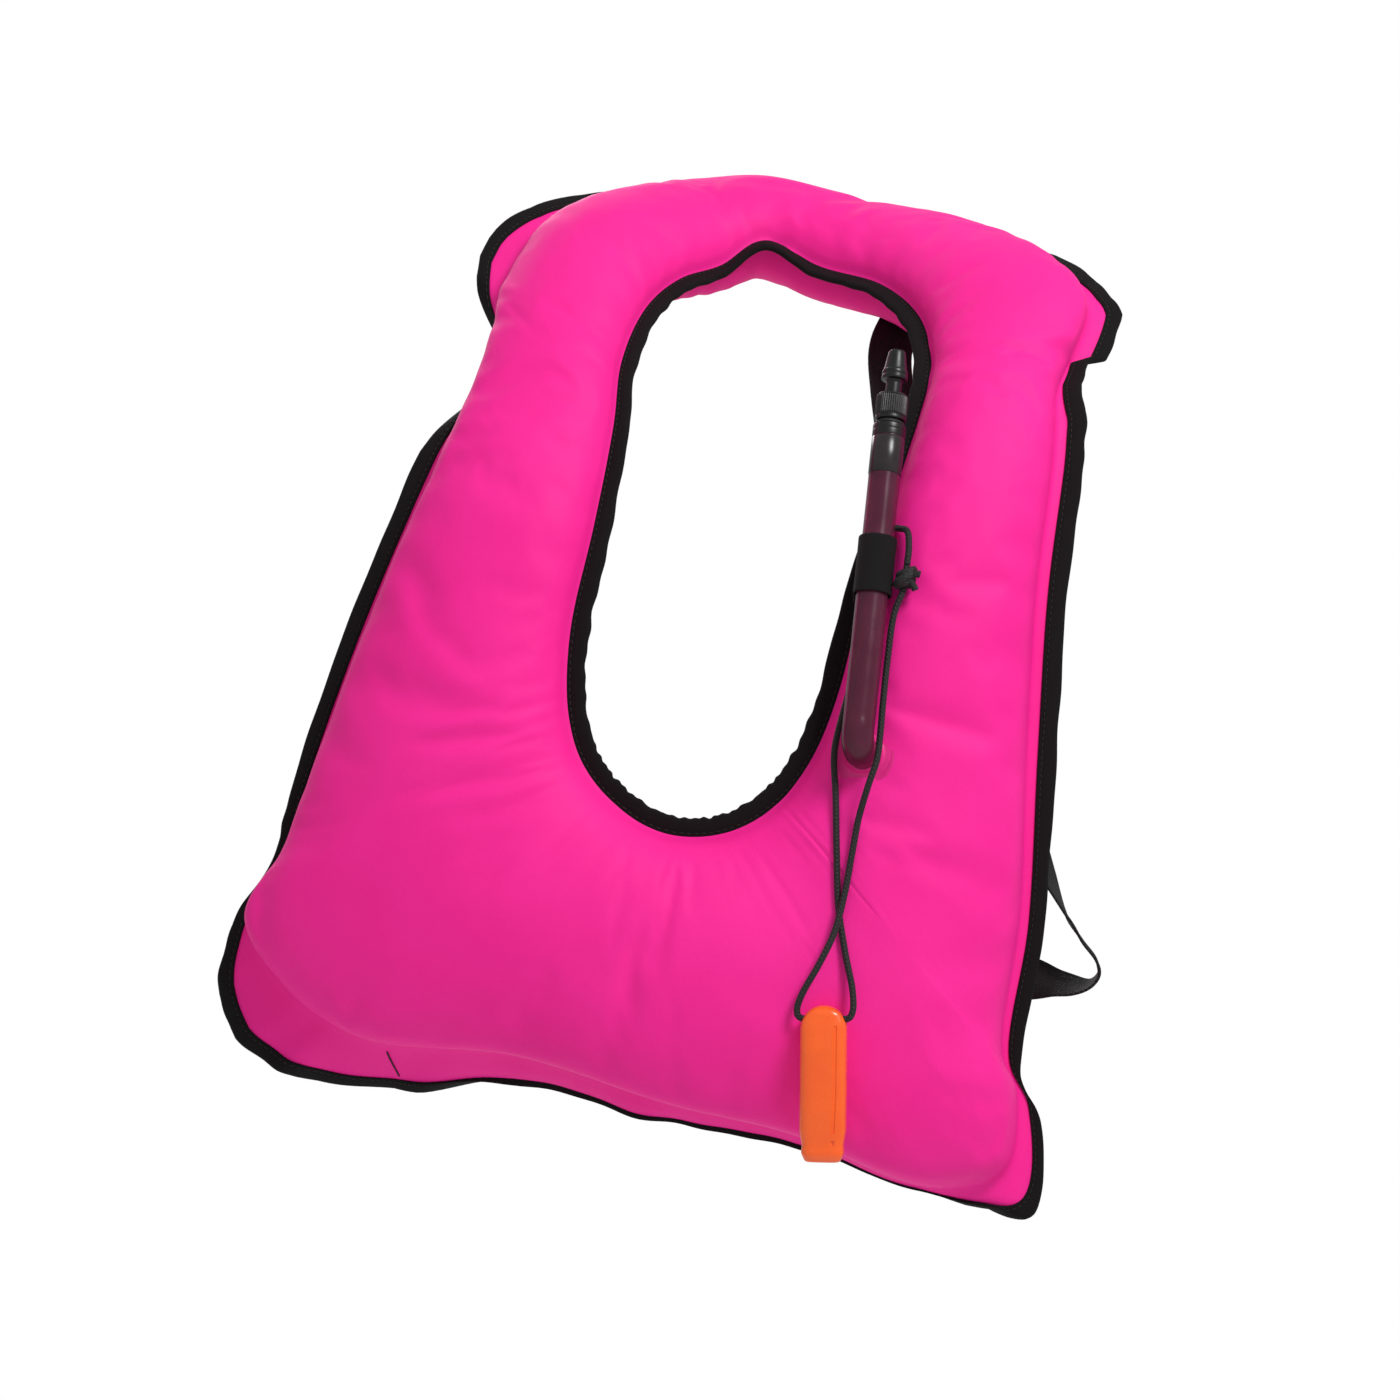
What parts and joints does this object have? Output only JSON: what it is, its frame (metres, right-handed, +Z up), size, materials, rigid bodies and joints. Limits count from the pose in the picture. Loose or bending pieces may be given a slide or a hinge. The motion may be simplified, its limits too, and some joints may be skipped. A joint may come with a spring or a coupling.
{
  "type": "inflatable snorkel vest",
  "caption": "Pink inflatable horse-collar snorkel vest with black binding, oral inflation tube, orange whistle on a black cord and a webbing waist belt.",
  "frame": {"origin": "nape of the neck edge, where the collar hangs on the wearer", "axes": "+Z up, the front of the vest faces -Y, +X to the viewer's right of the front"},
  "size_m": [0.4727, 0.2823, 0.5592],
  "materials": {
    "cover_nylon": "woven nylon with a coated back",
    "port_patch": "moulded flexible plastic, satin",
    "binding_tape": "woven tape, matte",
    "bladder_film": "translucent urethane film",
    "smoke_tube": "translucent smoke-tinted flexible tube",
    "elastic_band": "ribbed elastic",
    "barrel_grey": "moulded, satin",
    "seal_rubber": "matte",
    "hard_black": "moulded, satin",
    "spring_steel": "drawn wire",
    "cord_black": "braided cord",
    "whistle_orange": "moulded, glossy",
    "webbing_black": "woven webbing",
    "patch_black": "sewn reinforcement"
  },
  "bodies": {
    "vest": {"front_shell": "cover_nylon", "back_shell": "cover_nylon", "bladder": "bladder_film", "outer_binding": "binding_tape", "neck_binding": "binding_tape", "port_flange": "port_patch", "tube_elbow": "smoke_tube", "tube_lower": "smoke_tube", "tube_flex": "smoke_tube", "tube_keeper": "elastic_band", "lanyard_knot": "cord_black", "nape_patch": "patch_black", "belt_patch_right": "patch_black", "belt_patch_left": "patch_black", "harness_strap": "webbing_black", "belt_left": "webbing_black", "buckle_female": "hard_black"},
    "tube_end": {"tube_upper": "smoke_tube", "valve_barrel": "barrel_grey", "valve_o_ring": "seal_rubber", "valve_spring": "spring_steel"},
    "ring": {"lock_ring": "hard_black"},
    "mouth": {"mouthpiece": "hard_black", "valve_disc": "seal_rubber"},
    "lanyard": {"lanyard_cord": "cord_black"},
    "whistle_body": {"whistle": "whistle_orange"},
    "adjuster": {"strap_adjuster": "hard_black"},
    "buckle_plug": {"buckle_male": "hard_black"}
  },
  "joints": [
    {"name": "tube_bend", "type": "hinge", "parent": "vest", "child": "tube_end", "pos_m": [0.098, -0.14617, -0.14909], "axis": [0.9979, 0.0154, 0.063], "range_deg": [0, 60], "stiffness_Nm_per_rad": 0.25, "deforming": ["tube_flex"]},
    {"name": "lock_ring_turn", "type": "hinge", "parent": "tube_end", "child": "ring", "pos_m": [0.0943, -0.13264, -0.09385], "axis": [-0.0649, 0.2375, 0.9692], "range_deg": [0, 90]},
    {"name": "mouthpiece_press", "type": "slide", "parent": "tube_end", "child": "mouth", "axis": [0.0649, -0.2375, -0.9692], "range_m": [0, 0.004], "stiffness_N_per_m": 400, "deforming": ["valve_spring"]},
    {"name": "lanyard_lift", "type": "hinge", "parent": "vest", "child": "lanyard", "pos_m": [0.11, -0.178, -0.292], "axis": [-1, 0, 0], "range_deg": [0, 100], "deforming": ["lanyard_cord"]},
    {"name": "whistle_swing", "type": "hinge", "parent": "lanyard", "child": "whistle_body", "pos_m": [0.11203, -0.182, -0.4139], "axis": [-0.9891, 0, -0.1475], "range_deg": [0, 90]},
    {"name": "adjuster_slide", "type": "slide", "parent": "vest", "child": "adjuster", "axis": [1, 0, 0], "range_m": [0, 0.06], "deforming": ["harness_strap"]},
    {"name": "buckle_release", "type": "slide", "parent": "vest", "child": "buckle_plug", "axis": [-1, 0, 0], "range_m": [0, 0.03], "deforming": ["belt_left"]}
  ]
}
